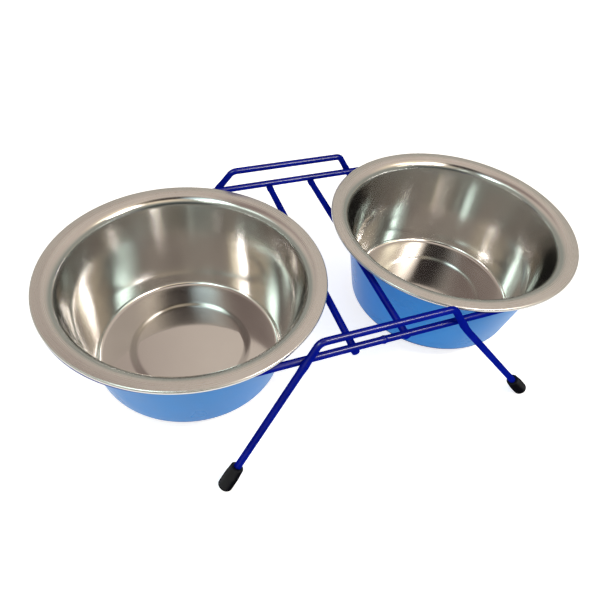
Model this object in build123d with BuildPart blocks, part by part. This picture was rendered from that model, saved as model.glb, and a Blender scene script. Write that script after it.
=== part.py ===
"""Double pet bowl: two lift-out steel bowls hanging by their rims in a low welded wire stand.

Millimetres, +Z up. The origin is on the floor under the middle of the stand, +X runs along the
row of bowls, and the front of the stand faces -Y.
"""

import math
import os

from build123d import *

# ---- driving dimensions -------------------------------------------------------------------
# bowl, pressed in one piece from sheet
rim_d = 165.0  # over the rolled edge
sheet = 0.7
bead_r = 1.2  # rolled edge, outside radius
rim_h = 78.0  # middle of the rolled edge above the floor
flange_rise = 0.25  # the flange is this much higher at the mouth than at its edge
mouth_r = 8.0  # rounding from flange into wall, on the inside
depth = 66.5  # middle of the rolled edge down to the underside of the base
wall_top_r = 70.6  # outside of the wall, 4 mm below the middle of the rolled edge
base_r = 58.4  # outside of the wall carried down to the underside of the base
corner_r = 4.2  # rounding from wall into base, on the outside
# the middle of the base is pressed up into a flat round panel, so that the base stands on a ring
panel_r = (34.6, 38.0)  # top and foot of its sloping edge, taken to the sharp corners
panel_rise = 0.7
panel_bend = 17.0  # both roundings of that edge, on the hollow side
bowl_x = 91.0  # bowl centres either side of the middle

# stand, bent and welded from one size of wire
wire_d = 4.2  # 4 mm rod with its coat
set_down = 0.4  # how far crossing wires are pressed into each other by the weld
rest_gap = 0.25  # room left between a rolled edge and the wire that it rests on
rail_y = 76.5  # rails in front of and behind the middle, and radius of the loop's ends
loop_x = 94.6  # middle of the loop's round ends, so that the wire runs under the outer rims too
bar_front = (-17.0, 15.5)  # x of the left and right cross bars over the front rail
bar_rear = (-12.8, 18.7)  # x of the same bars over the rear rail
bar_end = 78.0  # rear ends of the bars, just past the middle of the rail
bar_nub = 77.7  # the left bar's front end shows below the front rail
bar_flush = 76.1  # the right bar's front end stops under the front rail

# leg wires: a top bar above each rail, with a splayed leg at either end
top_bar_z = rim_h + 9.4
top_bar_half = 40.0  # half the length between the bends, taken to the sharp corner
lean = 0.213  # outward lean of the legs, mm per mm of height
splay = 0.652  # sideways run of the legs per mm of height
bend_r = 5.5  # middle of the wire
# one leg of each wire is bent further out just under its weld to the rail
kink_z = 70.8
kink_r = 60.0
kink_lean = 0.182  # lean and sideways run below the bend
kink_splay = 0.88

# soft foot caps
cap_d = 8.7
cap_mouth = 7.6  # outside diameter at the open end
cap_full = 7.0  # the cap widens from its open end to here
cap_len = 16.4
cap_round = 2.2  # rounding of the closed end
cap_grip = 0.1  # the cap is stretched this much in radius over the wire
cap_floor = 3.0  # solid end of the cap beyond the wire
cap_flat = 0.3  # how far the end is flattened where it stands on the floor

os.makedirs("parts", exist_ok=True)
wire_r = wire_d / 2

# ---- derived ------------------------------------------------------------------------------
flange_top = rim_h + bead_r  # top of the flange at the rolled edge
bead_x = rim_d / 2 - bead_r
taper = (wall_top_r - base_r) / (depth - 4.0)
slant = math.hypot(1, taper)
# the rolled edges lie on the wire where the rails pass under them
rail_z = rim_h - bead_r - rest_gap - wire_r
bar_z = rail_z - (wire_d - set_down)
# the leg plane passes outside the rail, so that the leg is pressed into the rail by set_down
leg_at_rail = rail_y + (wire_d - set_down) * math.hypot(1, lean)
top_bar_y = leg_at_rail - lean * (top_bar_z - rail_z)


def wall_outer(z):
    """Radius of the bowl wall's outside at height z above the floor."""
    return wall_top_r + taper * (z - (rim_h - 4.0))


# ---- bowls --------------------------------------------------------------------------------
base_z = rim_h - depth
floor_z = base_z + sheet
mouth_z = flange_top + flange_rise
inner_shift = sheet * slant
r_in = lambda z: wall_outer(z) - inner_shift
inside = [
    (0, floor_z + panel_rise),
    (panel_r[0], floor_z + panel_rise),
    (panel_r[1], floor_z),
    (r_in(floor_z), floor_z),
    (r_in(mouth_z), mouth_z),
    (bead_x, flange_top),
]
outside = [
    (0, base_z + panel_rise),
    (panel_r[0], base_z + panel_rise),
    (panel_r[1], base_z),
    (wall_outer(base_z), base_z),
    (wall_outer(mouth_z - sheet), mouth_z - sheet),
    (bead_x, flange_top - sheet),
]

bowls = {}
for side, cx in (("left_bowl", -bowl_x), ("right_bowl", bowl_x)):
    with BuildPart() as bowl:
        with BuildSketch(Plane(origin=(cx, 0, 0), x_dir=(1, 0, 0), z_dir=(0, -1, 0))):
            with BuildLine():
                FilletPolyline(*inside, radius=[panel_bend, panel_bend - sheet, corner_r - sheet, mouth_r])
                FilletPolyline(*outside, radius=[panel_bend - sheet, panel_bend, corner_r, mouth_r - sheet])
                Line(inside[0], outside[0])
                Line(inside[-1], outside[-1])
            make_face()
            with Locations((bead_x, rim_h)):
                Circle(bead_r)
        revolve(axis=Axis((cx, 0, 0), (0, 0, 1)))
    bowl.part.label = side
    bowls[side] = bowl.part
    export_step(bowl.part, f"parts/{side}.step")

# ---- loop: two rails joined round the bowls by half circles ---------------------------------
with BuildPart() as loop_wire:
    for y in (-rail_y, rail_y):
        with BuildSketch(Plane(origin=(-loop_x, y, rail_z), x_dir=(0, 1, 0), z_dir=(1, 0, 0))):
            Circle(wire_r)
        extrude(amount=2 * loop_x)
    for cx, y in ((-loop_x, rail_y), (loop_x, -rail_y)):
        with BuildSketch(Plane(origin=(cx, y, rail_z), x_dir=(0, 1, 0), z_dir=(1, 0, 0))):
            Circle(wire_r)
        revolve(axis=Axis((cx, 0, 0), (0, 0, 1)), revolution_arc=180)
loop_wire.part.label = "loop_wire"
export_step(loop_wire.part, "parts/loop_wire.step")

# ---- cross bars under the rails -------------------------------------------------------------
bars = {}
for name, x0, x1, front in (
    ("left_cross_bar", bar_front[0], bar_rear[0], bar_nub),
    ("right_cross_bar", bar_front[1], bar_rear[1], bar_flush),
):
    run = (x1 - x0) / (2 * rail_y)
    start = Vector(x0 - run * (front - rail_y), -front, bar_z)
    end = Vector(x1 + run * (bar_end - rail_y), bar_end, bar_z)
    with BuildPart() as bar:
        with BuildSketch(Plane(origin=start, z_dir=end - start)):
            Circle(wire_r)
        extrude(amount=(end - start).length)
        chamfer(bar.edges().filter_by(GeomType.CIRCLE), 0.3)
    bar.part.label = name
    bars[name] = bar.part
    export_step(bar.part, f"parts/{name}.step")


# ---- leg wires and their foot caps ----------------------------------------------------------
def leg(side, front):
    """Corners down the leg, unit direction of its lowest run and the middle of the cap's end."""
    sx = 1 if side == "right" else -1
    sy = -1 if front else 1
    corners = [Vector(sx * top_bar_half, sy * top_bar_y, top_bar_z)]
    run = Vector(sx * splay, sy * lean, -1)
    # both leg wires are the same bent wire, the rear one turned half way round
    if (side == "right") == front:
        corners.append(corners[0] + run * (top_bar_z - kink_z))
        run = Vector(sx * kink_splay, sy * kink_lean, -1)
    down = run.normalized()
    tilt = math.acos(-down.Z)
    # height of the middle of the cap's end rounding when the end is flattened on the floor
    low = cap_round + (cap_d / 2 - cap_round) * math.sin(tilt) - cap_flat
    foot = corners[-1] + down * ((corners[-1].Z - low) / -down.Z + cap_round)
    return corners, down, foot


def bent(points, radii):
    """Straight runs (two points) and arcs (three points) of a wire bent at its inner points."""
    start = points[0]
    pieces = []
    for before, corner, after, r in zip(points, points[1:], points[2:], radii):
        u, v = (before - corner).normalized(), (after - corner).normalized()
        half = math.acos(u.dot(v)) / 2
        first, last = corner + u * (r / math.tan(half)), corner + v * (r / math.tan(half))
        top = corner + (u + v).normalized() * (r / math.sin(half) - r)
        pieces += [(start, first), (first, top, last)]
        start = last
    return pieces + [(start, points[-1])]


caps = {}
wires = {}
for row, front in (("front", True), ("rear", False)):
    left, right = leg("left", front), leg("right", front)
    points = [left[2] - left[1] * cap_floor, *left[0][::-1], *right[0], right[2] - right[1] * cap_floor]
    radii = [bend_r if abs(p.Z - top_bar_z) < 1e-6 else kink_r for p in points[1:-1]]
    with BuildPart() as leg_wire:
        with BuildLine() as path:
            for piece in bent(points, radii):
                if len(piece) == 2:
                    Line(*piece)
                else:
                    ThreePointArc(*piece)
        with BuildSketch(Plane(origin=path.wire() @ 0, z_dir=path.wire() % 0)):
            Circle(wire_r)
        sweep(path=path.wire())
    name = f"{row}_leg_wire"
    leg_wire.part.label = name
    wires[name] = (leg_wire.part, path.wire().length)
    export_step(leg_wire.part, f"parts/{name}.step")

    for side, (corners, d, foot) in (("left", left), ("right", right)):
        # a closed sleeve turned about the line of the leg, open upwards; y runs from its open end down the leg
        mouth = foot - d * cap_len
        across = d.cross(Vector(0, 0, 1)).normalized()
        bore = wire_r - cap_grip
        with BuildPart() as cap:
            with BuildSketch(Plane(origin=mouth, x_dir=across, z_dir=across.cross(d))):
                with BuildLine():
                    FilletPolyline(
                        (bore, 0),
                        (cap_mouth / 2, 0),
                        (cap_d / 2, cap_full),
                        (cap_d / 2, cap_len),
                        (0, cap_len),
                        radius=[0.5, 20.0, cap_round],
                    )
                    Polyline((0, cap_len), (0, cap_len - cap_floor), (bore, cap_len - cap_floor), (bore, 0))
                make_face()
            revolve(axis=Axis(mouth, d))
            # the end is pressed flat on the floor
            with Locations((foot.X, foot.Y, -5)):
                Box(40, 40, 10, mode=Mode.SUBTRACT)
        name = f"{row}_{side}_foot_cap"
        cap.part.label = name
        caps[name] = cap.part
        export_step(cap.part, f"parts/{name}.step")

# ---- sizes for the record -------------------------------------------------------------------
print("rail_z %.3f bar_z %.3f top_bar_y %.3f floor_z %.3f mouth_z %.3f" % (rail_z, bar_z, top_bar_y, floor_z, mouth_z))
print("wall outside at the cross bars %.2f, inside at the floor %.2f" % (wall_outer(bar_z), r_in(floor_z)))
for name, (part, length) in wires.items():
    print(name, "volume %.1f against section x length %.1f" % (part.volume, math.pi * wire_r**2 * length))
for name, part in caps.items():
    low = part.faces().filter_by(GeomType.PLANE).sort_by(Axis.Z)[0]
    print(name, "flat at", [round(v, 4) for v in low.center()], "area %.2f" % low.area)
for name, part in bowls.items():
    print(name, "volume %.1f" % part.volume)
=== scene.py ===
"""Looks of the double pet bowl: two steel bowls with painted outsides in a coated wire stand.

Metres, in the CAD frame: +X along the row of bowls, +Z up, the front faces -Y.
"""

import math

import bmesh
import bpy
from mathutils import Matrix, Vector


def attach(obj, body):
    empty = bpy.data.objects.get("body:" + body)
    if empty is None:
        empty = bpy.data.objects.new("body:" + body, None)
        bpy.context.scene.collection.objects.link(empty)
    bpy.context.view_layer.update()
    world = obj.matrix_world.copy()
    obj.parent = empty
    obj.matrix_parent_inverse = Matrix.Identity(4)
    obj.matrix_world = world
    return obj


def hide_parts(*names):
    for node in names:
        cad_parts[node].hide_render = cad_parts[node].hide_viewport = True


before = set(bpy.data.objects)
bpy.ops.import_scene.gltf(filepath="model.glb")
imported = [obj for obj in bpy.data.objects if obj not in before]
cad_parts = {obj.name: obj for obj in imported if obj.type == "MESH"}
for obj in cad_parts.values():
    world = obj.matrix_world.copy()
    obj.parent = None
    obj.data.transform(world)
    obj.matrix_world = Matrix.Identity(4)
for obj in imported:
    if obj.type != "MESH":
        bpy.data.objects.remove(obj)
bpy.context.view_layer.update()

# ---- dimensions of the CAD model, in millimetres --------------------------------------------
rim_h, bead_x, bead_r, sheet = 78.0, 81.3, 1.2, 0.7
flange_top, mouth_z = rim_h + 1.2, rim_h + 1.45
base_z, floor_z = rim_h - 66.5, rim_h - 65.8
taper = 12.2 / 62.5
bowl_x = 91.0
panel_top, panel_foot, panel_rise = 34.6, 38.0, 0.7
wire_r, rail_y, loop_x = 2.1, 76.5, 94.6
rail_z = rim_h - bead_r - 0.25 - wire_r
bar_z, top_bar_z = rail_z - 3.8, rim_h + 9.4
lean, splay, bend_r = 0.213, 0.652, 5.5
kink_z, kink_r, kink_lean, kink_splay = 70.8, 60.0, 0.182, 0.88
leg_at_rail = rail_y + 3.8 * math.hypot(1, lean)
top_bar_y = leg_at_rail - lean * (top_bar_z - rail_z)
cap_r, cap_mouth, cap_full, cap_len, cap_round, cap_floor, cap_flat = 4.35, 3.8, 7.0, 16.4, 2.2, 3.0, 0.3


def wall_outer(z):
    return 70.6 + taper * (z - (rim_h - 4.0))


# ---- mesh tools ------------------------------------------------------------------------------
def rounded(points, radii, steps=14):
    """A polyline with its inner corners rounded to these radii."""
    pts = [Vector(p) for p in points]
    out = [pts[0]]
    for a, b, c, r in zip(pts, pts[1:], pts[2:], radii):
        u, v = (a - b).normalized(), (c - b).normalized()
        half = math.acos(max(-1, min(1, u.dot(v)))) / 2
        run = r / math.tan(half)
        mid = b + (u + v).normalized() * (r / math.sin(half))
        s, e = b + u * run - mid, b + v * run - mid
        turn = math.pi - 2 * half
        for k in range(steps + 1):
            t = k / steps
            out.append(mid + (s * math.sin((1 - t) * turn) + e * math.sin(t * turn)) / math.sin(turn))
    out.append(pts[-1])
    return out


def spread(points, step):
    """The same polyline with extra points, so that no stretch is longer than step."""
    out = [points[0]]
    for a, b in zip(points, points[1:]):
        n = max(1, math.ceil((b - a).length / step))
        out += [a.lerp(b, k / n) for k in range(1, n + 1)]
    return out


def add_mesh(name, verts, faces, at=(0, 0, 0)):
    """A smooth-shaded object; verts are in millimetres from at."""
    mesh = bpy.data.meshes.new(name)
    mesh.from_pydata([(x / 1000, y / 1000, z / 1000) for x, y, z in verts], [], faces)
    bm = bmesh.new()
    bm.from_mesh(mesh)
    bmesh.ops.remove_doubles(bm, verts=bm.verts, dist=1e-7)
    bmesh.ops.recalc_face_normals(bm, faces=bm.faces)
    bm.to_mesh(mesh)
    bm.free()
    mesh.shade_smooth()
    obj = bpy.data.objects.new(name, mesh)
    obj.location = Vector(at) / 1000
    bpy.context.scene.collection.objects.link(obj)
    bpy.context.view_layer.update()
    return obj


def lathe(name, profile, at=(0, 0, 0), segments=240, shape=None):
    """A closed ring or cup: profile is a closed run of (r, z), turned about Z. shape may move a point."""
    rows, verts = [], []
    for r, z in profile:
        if r < 1e-6:
            rows.append([len(verts)] * segments)
            verts.append((0, 0, z))
            continue
        rows.append(list(range(len(verts), len(verts) + segments)))
        for k in range(segments):
            t = 2 * math.pi * k / segments
            verts.append((r * math.cos(t), r * math.sin(t), z))
    if shape:
        verts = [shape(Vector(v)) for v in verts]
    faces = []
    for a, b in zip(rows, rows[1:] + rows[:1]):
        for k in range(segments):
            j = (k + 1) % segments
            quad = []
            for i in (a[k], a[j], b[j], b[k]):
                if i not in quad:
                    quad.append(i)
            if len(quad) > 2:
                faces.append(quad)
    return add_mesh(name, verts, faces, at)


def tube(name, path, closed=False, radius=None, sides=28, end=0.35):
    """A wire of round section along path, with its cut ends broken a little."""
    n = len(path)
    rad = radius or (lambda i: wire_r)
    tang = []
    for i in range(n):
        a = path[i - 1] if closed or i else path[0]
        b = path[(i + 1) % n] if closed or i < n - 1 else path[-1]
        tang.append((b - a).normalized())
    # carry one normal along the path, so that the section doesn't twist
    normal = tang[0].orthogonal().normalized()
    if abs(tang[0].z) < 0.99:
        normal = (Vector((0, 0, 1)) - tang[0] * tang[0].z).normalized()
    frames = []
    for i in range(n):
        if i:
            normal = tang[i - 1].rotation_difference(tang[i]) @ normal
            normal = (normal - tang[i] * normal.dot(tang[i])).normalized()
        frames.append((path[i], normal.copy(), tang[i].cross(normal), rad(i)))
    rings = frames
    if not closed:
        p, u, v, r = frames[0]
        q, u2, v2, r2 = frames[-1]
        rings = [(p, u, v, r - end), (p + tang[0] * end * 0.35, u, v, r - end * 0.3), (p + tang[0] * end, u, v, r)]
        rings += frames[1:-1]
        rings += [(q - tang[-1] * end, u2, v2, r2), (q - tang[-1] * end * 0.35, u2, v2, r2 - end * 0.3), (q, u2, v2, r2 - end)]
    verts, faces = [], []
    for p, u, v, r in rings:
        for k in range(sides):
            t = 2 * math.pi * k / sides
            verts.append(p + u * (r * math.cos(t)) + v * (r * math.sin(t)))
    last = len(rings) if closed else len(rings) - 1
    for i in range(last):
        a, b = i * sides, ((i + 1) % len(rings)) * sides
        for k in range(sides):
            j = (k + 1) % sides
            faces.append((a + k, a + j, b + j, b + k))
    if not closed:
        faces.append(tuple(range(sides)))
        faces.append(tuple(range((len(rings) - 1) * sides, len(rings) * sides)))
    return add_mesh(name, verts, faces)


# ---- node tools ------------------------------------------------------------------------------
class Nodes:
    """Short ways to add and join nodes of one tree."""

    def __init__(self, tree):
        self.tree = tree
        tree.nodes.clear()

    def add(self, kind, values=None, **props):
        node = self.tree.nodes.new(kind)
        for k, v in props.items():
            setattr(node, k, v)
        for k, v in (values or {}).items():
            if isinstance(v, bpy.types.NodeSocket):
                self.tree.links.new(v, node.inputs[k])
            else:
                node.inputs[k].default_value = v
        return node

    def math(self, op, a, b=0.0, clamp=False):
        return self.add("ShaderNodeMath", {0: a, 1: b}, operation=op, use_clamp=clamp).outputs[0]

    def ramp(self, value, lo, hi, to_lo=0.0, to_hi=1.0, smooth=True):
        return self.add(
            "ShaderNodeMapRange",
            {"Value": value, "From Min": lo, "From Max": hi, "To Min": to_lo, "To Max": to_hi},
            interpolation_type="SMOOTHSTEP" if smooth else "LINEAR",
        ).outputs["Result"]

    def noise(self, vector, scale, detail=3.0, rough=0.55):
        node = self.add("ShaderNodeTexNoise", {"Vector": vector, "Scale": scale, "Detail": detail, "Roughness": rough})
        return node.outputs["Fac"]

    def mix(self, fac, a, b):
        node = self.add("ShaderNodeMix", data_type="RGBA")
        for socket, value in ((node.inputs[0], fac), (node.inputs[6], a), (node.inputs[7], b)):
            if isinstance(value, bpy.types.NodeSocket):
                self.tree.links.new(value, socket)
            else:
                socket.default_value = value
        return node.outputs[2]

    def bump(self, height, distance, strength=1.0, normal=None):
        values = {"Height": height, "Distance": distance, "Strength": strength}
        if normal:
            values["Normal"] = normal
        return self.add("ShaderNodeBump", values).outputs["Normal"]

    def place(self):
        """Object position, and radius, angle and height about the object's own Z."""
        pos = self.add("ShaderNodeTexCoord").outputs["Object"]
        xyz = self.add("ShaderNodeSeparateXYZ", {0: pos}).outputs
        flat = self.add("ShaderNodeCombineXYZ", {0: xyz[0], 1: xyz[1]}).outputs[0]
        r = self.add("ShaderNodeVectorMath", {0: flat}, operation="LENGTH").outputs["Value"]
        angle = self.math("ARCTAN2", xyz[1], xyz[0])
        return pos, r, angle, xyz[2]

    def vector(self, x, y, z):
        return self.add("ShaderNodeCombineXYZ", {0: x, 1: y, 2: z}).outputs[0]


def material(name):
    m = bpy.data.materials.new(name)
    m.use_nodes = True
    n = Nodes(m.node_tree)
    shader = n.add("ShaderNodeBsdfPrincipled")
    out = n.add("ShaderNodeOutputMaterial")
    m.node_tree.links.new(shader.outputs[0], out.inputs["Surface"])

    def put(socket, value):
        if isinstance(value, bpy.types.NodeSocket):
            m.node_tree.links.new(value, shader.inputs[socket])
        else:
            shader.inputs[socket].default_value = value

    return m, n, put


def rgb(r, g, b):
    return (r, g, b, 1.0)


# ---- materials -------------------------------------------------------------------------------
def steel():
    """Pressed steel: satin on the rim, polished inside, turned marks round the rim."""
    m, n, put = material("bowl_steel")
    pos, r, angle, z = n.place()
    # turned marks run round the bowl, so they change quickly along r and z and slowly along the angle
    marks = n.noise(n.vector(r, n.math("MULTIPLY", angle, 0.0016), z), 1900.0, 2.0, 0.6)
    cloud = n.noise(pos, 38.0, 3.0, 0.5)
    satin = n.ramp(r, 0.0728, 0.0752)
    wall = n.ramp(r, 0.0560, 0.0590)
    # mirror floor, walls polished in circles so that they blur up and down, satin rim, and duller patches
    rough = n.math("ADD", n.ramp(wall, 0.0, 1.0, 0.05, 0.125, smooth=False), n.ramp(satin, 0.0, 1.0, 0.0, 0.155, smooth=False))
    scuffed = n.math("MULTIPLY", n.ramp(r, 0.0336, 0.0352), n.ramp(r, 0.0376, 0.0398, 0.10, 0.05))
    rough = n.math("ADD", rough, n.math("MULTIPLY", scuffed, n.ramp(wall, 0.0, 1.0, 1.0, 0.0)))
    rough = n.math("ADD", rough, n.ramp(cloud, 0.35, 0.7, -0.006, 0.016))
    rough = n.math("ADD", rough, n.math("MULTIPLY", satin, n.ramp(marks, 0.3, 0.7, -0.022, 0.022)))
    put("Roughness", rough)
    tone = n.math("ADD", n.math("MULTIPLY", n.math("MULTIPLY", marks, satin), 0.25), n.math("MULTIPLY", cloud, 0.8))
    metal = n.mix(n.ramp(tone, 0.3, 0.75), rgb(0.640, 0.632, 0.620), rgb(0.675, 0.668, 0.655))
    # the sloping edge of the base's panel is painted darker: painted shade that dims the bright reflection of its step
    ring = n.math("MULTIPLY", n.ramp(r, 0.0336, 0.0352), n.ramp(r, 0.0376, 0.0398, 0.60, 0.0))
    metal = n.mix(ring, metal, rgb(0.36, 0.35, 0.34))
    # the underside of the rolled edge is painted dark: a painted shadow for the gap beneath the rim
    bead_underside_shadow = n.math("MULTIPLY", n.ramp(r, (bead_x - 1.0) / 1000, bead_x / 1000), n.ramp(z, (rim_h - 0.45) / 1000, (rim_h - 0.10) / 1000, 1.0, 0.0))
    put("Base Color", n.mix(bead_underside_shadow, metal, rgb(0.030, 0.034, 0.045)))
    put("Metallic", 1.0)
    put("Anisotropic", n.math("MULTIPLY", wall, n.ramp(satin, 0.0, 1.0, 0.75, 0.0)))
    put("Anisotropic Rotation", 0.25)
    put("Tangent", n.add("ShaderNodeTangent", direction_type="RADIAL", axis="Z").outputs[0])
    # slow waves left by the press, and the fine marks on the rim
    waves = n.bump(n.noise(pos, 30.0, 1.5, 0.4), 0.00008, 1.0)
    put("Normal", n.bump(n.math("MULTIPLY", marks, satin), 0.000002, 0.5, waves))
    return m


def bowl_paint():
    """Sky blue enamel with a fine orange peel, painted darker round the base as painted shade."""
    m, n, put = material("bowl_paint")
    pos, r, angle, z = n.place()
    cloud = n.noise(pos, 24.0, 3.0, 0.5)
    fine = n.noise(pos, 950.0, 2.0, 0.5)
    blue = n.mix(n.ramp(cloud, 0.3, 0.7), rgb(0.011, 0.188, 0.545), rgb(0.015, 0.208, 0.590))
    # painted shade: a dark band round the base, where the bottom corner falls into shade
    edge = n.ramp(z, (base_z + 2.4) / 1000, (base_z + 3.9) / 1000, 1.0, 0.0)
    put("Base Color", n.mix(edge, blue, rgb(0.004, 0.018, 0.11)))
    put("Roughness", n.ramp(cloud, 0.3, 0.75, 0.26, 0.36))
    put("Specular IOR Level", 0.14)
    put("Normal", n.bump(fine, 0.000012, 0.8))
    return m


def wire_paint():
    """Glossy ultramarine coat on the wire, with a soft orange peel and thinner paint on high spots."""
    m, n, put = material("stand_paint")
    pos = n.add("ShaderNodeTexCoord").outputs["Object"]
    cloud = n.noise(pos, 60.0, 3.0, 0.5)
    fine = n.noise(pos, 620.0, 2.0, 0.5)
    specks = n.ramp(n.noise(pos, 1500.0, 1.0, 0.5), 0.72, 0.80)
    blue = n.mix(n.ramp(cloud, 0.3, 0.7), rgb(0.0015, 0.0060, 0.215), rgb(0.0028, 0.0095, 0.285))
    put("Base Color", n.mix(specks, blue, rgb(0.010, 0.016, 0.26)))
    put("Roughness", n.ramp(cloud, 0.3, 0.75, 0.035, 0.065))
    facing = n.add("ShaderNodeLayerWeight", {"Blend": 0.5}).outputs["Facing"]
    # the coat's gloss is raised where it faces the view, a painted highlight, and cut on its underside, painted shade
    # that keeps the pale floor out of its reflection
    up = n.add("ShaderNodeSeparateXYZ", {0: n.add("ShaderNodeNewGeometry").outputs["Normal"]}).outputs[2]
    put("Specular IOR Level", n.math("MULTIPLY", n.ramp(facing, 0.04, 0.26, 0.75, 0.0), n.ramp(up, 0.35, 0.65)))
    put("Normal", n.bump(fine, 0.000008, 0.8))
    return m


def vinyl():
    """Dull black dipped vinyl with a faint grain and scuffed ends."""
    m, n, put = material("foot_vinyl")
    pos, r, angle, z = n.place()
    grain = n.noise(pos, 1400.0, 3.0, 0.6)
    cloud = n.noise(pos, 260.0, 3.0, 0.6)
    scuff = n.math("MULTIPLY", n.ramp(z, 0.0, 0.0040, 1.0, 0.0), n.ramp(cloud, 0.45, 0.68))
    put("Base Color", n.mix(scuff, rgb(0.0040, 0.0040, 0.0060), rgb(0.020, 0.019, 0.021)))
    put("Roughness", n.ramp(cloud, 0.3, 0.7, 0.42, 0.60))
    # the vinyl's gloss is cut towards its edges and on its underside: painted shade that keeps the pale floor out of
    # its reflection
    facing = n.add("ShaderNodeLayerWeight", {"Blend": 0.5}).outputs["Facing"]
    up = n.add("ShaderNodeSeparateXYZ", {0: n.add("ShaderNodeNewGeometry").outputs["Normal"]}).outputs[2]
    put("Specular IOR Level", n.math("MULTIPLY", n.ramp(facing, 0.2, 0.8, 0.22, 0.0), n.ramp(up, 0.2, 0.6)))
    put("Normal", n.bump(grain, 0.00003, 0.8))
    return m


STEEL, BOWL_PAINT, WIRE_PAINT, VINYL = steel(), bowl_paint(), wire_paint(), vinyl()


def finish_piece(obj, mat, body, node=None):
    obj.data.materials.append(mat)
    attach(obj, body)
    if node:
        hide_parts(node)
    return obj


# ---- bowls -----------------------------------------------------------------------------------
shift = sheet * math.hypot(1, taper)
inside = rounded(
    [
        (0, floor_z + panel_rise),
        (panel_top, floor_z + panel_rise),
        (panel_foot, floor_z),
        (wall_outer(floor_z) - shift, floor_z),
        (wall_outer(mouth_z) - shift, mouth_z),
        (bead_x, flange_top),
    ],
    [17.0, 16.3, 3.5, 8.0],
)
outside = rounded(
    [
        (0, base_z + panel_rise),
        (panel_top, base_z + panel_rise),
        (panel_foot, base_z),
        (wall_outer(base_z), base_z),
        (wall_outer(mouth_z - sheet), mouth_z - sheet),
        (bead_x, flange_top - sheet),
    ],
    [16.3, 17.0, 4.2, 7.3],
)
half = sheet / 2
middle = rounded(
    [
        (0, base_z + half + panel_rise),
        (panel_top, base_z + half + panel_rise),
        (panel_foot, base_z + half),
        (wall_outer(base_z + half) - half, base_z + half),
        (wall_outer(mouth_z - half) - half, mouth_z - half),
        (bead_x - 1.6, flange_top - half + 0.03),
    ],
    [16.6, 16.6, 3.85, 7.65],
)
inside, outside, middle = (spread(p, 5.0) for p in (inside, outside, middle))
# the edge is rolled outwards and down until it meets the underside of the rim
curl_end = math.pi - math.asin((bead_r - sheet) / bead_r) - 2 * math.pi
curl = []
for k in range(1, 23):
    t = math.pi / 2 + (curl_end - math.pi / 2) * k / 22
    curl.append(Vector((bead_x + bead_r * math.cos(t), rim_h + bead_r * math.sin(t))))
split = bead_x - 1.6  # the paint stops here, just inside the rolled edge
under = Vector((split, flange_top - sheet + 0.03))
steel_profile = inside + curl + [under] + middle[::-1]
paint_profile = [p for p in outside if p.x < split - 0.2] + [under + Vector((-0.08, -0.015))]
paint_profile += [p + Vector((0, -0.015)) for p in middle[::-1] if p.x < split - 0.2]

for side, cx in (("left", -bowl_x), ("right", bowl_x)):
    body = f"{side}_bowl"
    pressing = lathe(f"{side}_bowl_pressing", steel_profile, (cx, 0, 0))
    finish_piece(pressing, STEEL, body, body)
    coat = lathe(f"{side}_bowl_coat", paint_profile, (cx, 0, 0))
    finish_piece(coat, BOWL_PAINT, body)

# ---- wires -----------------------------------------------------------------------------------
def swell(distance, height, width):
    """Extra radius of a wire at this distance from a weld."""
    return height * math.exp(-((distance / width) ** 2))


# the loop's two ends are welded together in the middle of the front rail
loop = spread([Vector((-loop_x, -rail_y, rail_z)), Vector((-4, -rail_y, rail_z))], 4.0)
loop += spread([Vector((-3.5, -rail_y, rail_z)), Vector((3.5, -rail_y, rail_z))], 0.35)
loop += spread([Vector((4, -rail_y, rail_z)), Vector((loop_x, -rail_y, rail_z))], 4.0)
for k in range(1, 60):
    t = -math.pi / 2 + math.pi * k / 60
    loop.append(Vector((loop_x + rail_y * math.cos(t), rail_y * math.sin(t), rail_z)))
loop += spread([Vector((loop_x, rail_y, rail_z)), Vector((-loop_x, rail_y, rail_z))], 4.0)
for k in range(1, 60):
    t = math.pi / 2 + math.pi * k / 60
    loop.append(Vector((-loop_x + rail_y * math.cos(t), rail_y * math.sin(t), rail_z)))
upset = [wire_r + (swell(p.x + 0.5, 0.34, 0.9) if p.y < 0 else 0.0) for p in loop]
loop_obj = tube("loop_wire_coated", loop, closed=True, radius=lambda i: upset[i])
finish_piece(loop_obj, WIRE_PAINT, "stand", "loop_wire")

for name, x0, x1, front in (("left_cross_bar", -17.0, -12.8, 77.7), ("right_cross_bar", 15.5, 18.7, 76.1)):
    run = (x1 - x0) / (2 * rail_y)
    start = Vector((x0 - run * (front - rail_y), -front, bar_z))
    stop = Vector((x1 + run * 1.5, 78.0, bar_z))
    near, far = start.lerp(stop, 0.08), start.lerp(stop, 0.92)
    path = spread([start, near], 0.6) + spread([near, far], 4.0)[1:] + spread([far, stop], 0.6)[1:]
    # the coat fills the corner of the weld, so the bar looks a little thicker under the rails
    thick = [wire_r + swell(abs(p.y) - rail_y + 1.0, 0.30, 2.6) for p in path]
    bar = tube(f"{name}_coated", path, radius=lambda i: thick[i])
    finish_piece(bar, WIRE_PAINT, "stand", name)


def leg(side, front):
    """Corners down the leg, unit direction of its lowest run and the middle of the cap's end."""
    sx, sy = (1 if side == "right" else -1), (-1 if front else 1)
    corners = [Vector((sx * 40.0, sy * top_bar_y, top_bar_z))]
    run = Vector((sx * splay, sy * lean, -1))
    if (side == "right") == front:
        corners.append(corners[0] + run * (top_bar_z - kink_z))
        run = Vector((sx * kink_splay, sy * kink_lean, -1))
    d = run.normalized()
    low = cap_round + (cap_r - cap_round) * math.sin(math.acos(-d.z)) - cap_flat
    return corners, d, corners[-1] + d * ((corners[-1].z - low) / -d.z + cap_round)


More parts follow.
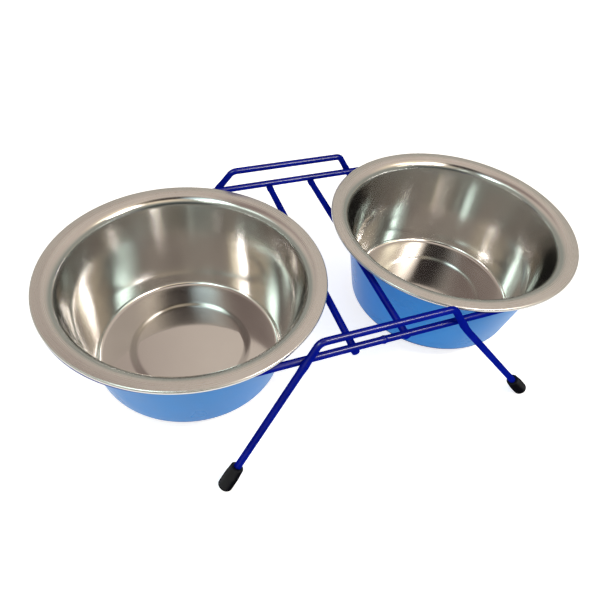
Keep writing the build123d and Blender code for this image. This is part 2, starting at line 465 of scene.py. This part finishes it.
for row, front in (("front", True), ("rear", False)):
    legs = {side: leg(side, front) for side in ("left", "right")}
    ends = {side: tip - d * cap_floor for side, (_, d, tip) in legs.items()}
    points = [ends["left"], *legs["left"][0][::-1], *legs["right"][0], ends["right"]]
    radii = [bend_r if abs(p.z - top_bar_z) < 1e-4 else kink_r for p in points[1:-1]]
    path = spread(rounded(points, radii, 16), 1.5)
    thick = [wire_r + (swell(p.z - rail_z, 0.26, 2.4) if p.z < top_bar_z - 1 else 0.0) for p in path]
    wire = tube(f"{row}_leg_wire_coated", path, radius=lambda i: thick[i])
    finish_piece(wire, WIRE_PAINT, "stand", f"{row}_leg_wire")

    for side, (corners, d, tip) in legs.items():
        turn = Vector((0, 0, -1)).rotation_difference(d).to_matrix()

        def on_leg(v, tip=tip, turn=turn):
            # the profile stands on its closed end; turned on to the leg, and flattened on the floor
            p = turn @ v + tip
            p.z = max(p.z, 0.0)
            return p - Vector((tip.x, tip.y, 0))

        bore = wire_r - 0.1
        skin = rounded(
            [(0, 0), (cap_r, 0), (cap_r, cap_len - cap_full), (cap_mouth, cap_len), (bore, cap_len)],
            [cap_round, 20.0, 0.5],
            9,
        )
        hollow = [Vector((bore, cap_floor)), Vector((0, cap_floor))]
        cap = lathe(f"{row}_{side}_foot_cap_dipped", spread(skin, 0.8) + hollow, (tip.x, tip.y, 0), 56, on_leg)
        finish_piece(cap, VINYL, "stand", f"{row}_{side}_foot_cap")

# ---- floor, lights and surroundings ------------------------------------------------------------
floor_mesh = bpy.data.meshes.new("floor")
floor_mesh.from_pydata([(-8, -8, 0), (8, -8, 0), (8, 8, 0), (-8, 8, 0)], [], [(0, 1, 2, 3)])
floor = bpy.data.objects.new("floor", floor_mesh)
bpy.context.scene.collection.objects.link(floor)
fm, fn, fput = material("floor")
fput("Base Color", rgb(0.8, 0.8, 0.8))
fput("Roughness", 0.8)
fput("Specular IOR Level", 0.2)
fput("Emission Color", rgb(1.0, 1.0, 1.0))
fput("Emission Strength", 0.75)
# the floor is so wide that rays find it by themselves
fm.cycles.emission_sampling = "NONE"
floor_mesh.materials.append(fm)


def toward(az, el):
    """Direction to a point of the surroundings: azimuth from +Y towards +X, elevation from the floor."""
    a, e = math.radians(az), math.radians(el)
    return Vector((math.sin(a) * math.cos(e), math.cos(a) * math.cos(e), math.sin(e)))


def oval(name, az, el, half_w, half_h, soft, distance, tint, turn=0.0):
    """A soft-edged oval panel facing the bowls, half width and height in degrees, of one brightness, turned in its plane."""
    middle_of_bowls = Vector((0, 0, 0.08))
    forward = toward(az, el)
    upward = toward(az, el + 90)
    across = forward.cross(upward)
    t = math.radians(turn)
    across, upward = across * math.cos(t) + upward * math.sin(t), upward * math.cos(t) - across * math.sin(t)
    w, h = (distance * math.tan(math.radians(v)) for v in (half_w, half_h))
    x, y = w * (1 + soft), h * (1 + soft)
    mesh = bpy.data.meshes.new(name)
    mesh.from_pydata([(-x, -y, 0), (x, -y, 0), (x, y, 0), (-x, y, 0)], [], [(0, 1, 2, 3)])
    obj = bpy.data.objects.new(name, mesh)
    axes = Matrix((across, upward, -forward)).transposed().to_4x4()
    obj.matrix_world = Matrix.Translation(middle_of_bowls + forward * distance) @ axes
    bpy.context.scene.collection.objects.link(obj)
    m = bpy.data.materials.new(name)
    m.use_nodes = True
    n = Nodes(m.node_tree)
    pos = n.add("ShaderNodeTexCoord").outputs["Object"]
    scaled = n.add("ShaderNodeVectorMath", {0: pos, 1: (1 / w, 1 / h, 0.0)}, operation="MULTIPLY").outputs[0]
    reach = n.add("ShaderNodeVectorMath", {0: scaled}, operation="LENGTH").outputs["Value"]
    mask = n.ramp(reach, 1 - soft, 1 + soft, 1.0, 0.0)
    clear = n.add("ShaderNodeBsdfTransparent").outputs[0]
    light = n.add("ShaderNodeEmission", {"Color": rgb(*tint), "Strength": 1.0}).outputs[0]
    both = n.add("ShaderNodeMixShader", {0: mask, 1: clear, 2: light}).outputs[0]
    m.node_tree.links.new(both, n.add("ShaderNodeOutputMaterial").inputs["Surface"])
    mesh.materials.append(m)
    obj.visible_camera = False
    return obj


oval("dark_panel", 193, 66, 19.0, 11.0, 0.7, 0.83, (0.04, 0.03, 0.03))
oval("warm_side", 124, 45.7, 11.0, 4.8, 0.5, 0.78, (3.4, 3.1, 2.4))
oval("warm_front", 146.7, 52.7, 8.0, 9.0, 0.8, 0.5, (5.2, 4.6, 4.0))
oval("warm_core", 145.2, 45.4, 14.0, 2.0, 0.4, 0.445, (28.0, 27.0, 26.5), 26.3)
oval("cool_front", 243, 44.7, 9.4, 6.4, 0.8, 0.4, (6.0, 7.5, 6.9))
oval("cool_high", 240, 55.8, 10.2, 8.8, 0.6, 0.42, (0.95, 1.16, 1.20))
oval("warm_low", 139, 30.5, 5.0, 2.0, 0.8, 1.6, (4.0, 3.5, 2.6))

world = bpy.data.worlds.new("surroundings")
bpy.context.scene.world = world
world.use_nodes = True
w = Nodes(world.node_tree)
direction = w.add("ShaderNodeTexCoord").outputs["Generated"]


def patch(base, az, el, half_w, half_h, soft, tint):
    """A soft-edged oval patch of the surroundings, half width and height in degrees."""
    forward, upward = toward(az, el), toward(az, el + 90)
    across = forward.cross(upward)

    def along(v):
        return w.add("ShaderNodeVectorMath", {0: direction, 1: tuple(v)}, operation="DOT_PRODUCT").outputs["Value"]

    ahead = w.math("MAXIMUM", along(forward), 0.001)
    x = w.math("DIVIDE", w.math("DIVIDE", along(across), ahead), math.tan(math.radians(half_w)))
    y = w.math("DIVIDE", w.math("DIVIDE", along(upward), ahead), math.tan(math.radians(half_h)))
    reach = w.add("ShaderNodeVectorMath", {0: w.vector(x, y, 0.0)}, operation="LENGTH").outputs["Value"]
    mask = w.math("MULTIPLY", w.ramp(reach, 1 - soft, 1 + soft, 1.0, 0.0), w.math("GREATER_THAN", along(forward), 0.0))
    return w.mix(mask, base, rgb(*tint))


height = w.add("ShaderNodeSeparateXYZ", {0: direction}).outputs[2]
colour = w.mix(w.ramp(height, -0.08, 0.10), rgb(0.15, 0.145, 0.15), rgb(0.38, 0.39, 0.34))
colour = patch(colour, 23, 72, 60, 43, 0.61, (0.75, 0.64, 0.55))
colour = patch(colour, 152, 50.5, 31, 14.4, 0.9, (1.32, 1.09, 0.81))
colour = patch(colour, 298, 63, 36, 11, 0.9, (0.34, 0.26, 0.23))
colour = patch(colour, 190, 8, 36, 17, 0.45, (0.085, 0.095, 0.090))
colour = patch(colour, 261, 39, 15.8, 5.0, 0.9, (1.66, 1.90, 1.72))
colour = patch(colour, 216, 31.0, 5.5, 1.8, 0.6, (2.4, 2.6, 2.3))
sky = w.add("ShaderNodeBackground", {"Color": colour, "Strength": 1.0})
world.node_tree.links.new(sky.outputs[0], w.add("ShaderNodeOutputWorld").inputs["Surface"])

# ---- camera ----------------------------------------------------------------------------------
az, el, roll = math.radians(-26.281), math.radians(46.139), math.radians(7.058)
target = Vector((-35.07, -39.02, 78.0)) / 1000
back = Vector((math.sin(az) * math.cos(el), -math.cos(az) * math.cos(el), math.sin(el)))
right = (-back).cross(Vector((0, 0, 1))).normalized()
down = (-back).cross(right)
right, down = right * math.cos(roll) - down * math.sin(roll), right * math.sin(roll) + down * math.cos(roll)
cam_data = bpy.data.cameras.new("camera")
cam_data.sensor_width = 36.0
cam_data.sensor_fit = "HORIZONTAL"
cam_data.lens = 36.0 * 551.23 / 600
cam_data.clip_start = 0.01
cam = bpy.data.objects.new("camera", cam_data)
cam.matrix_world = Matrix.Translation(target + back * 0.30801) @ Matrix((right, -down, back)).transposed().to_4x4()
bpy.context.scene.collection.objects.link(cam)
bpy.context.scene.camera = cam
bpy.context.scene.view_settings.view_transform = "Standard"
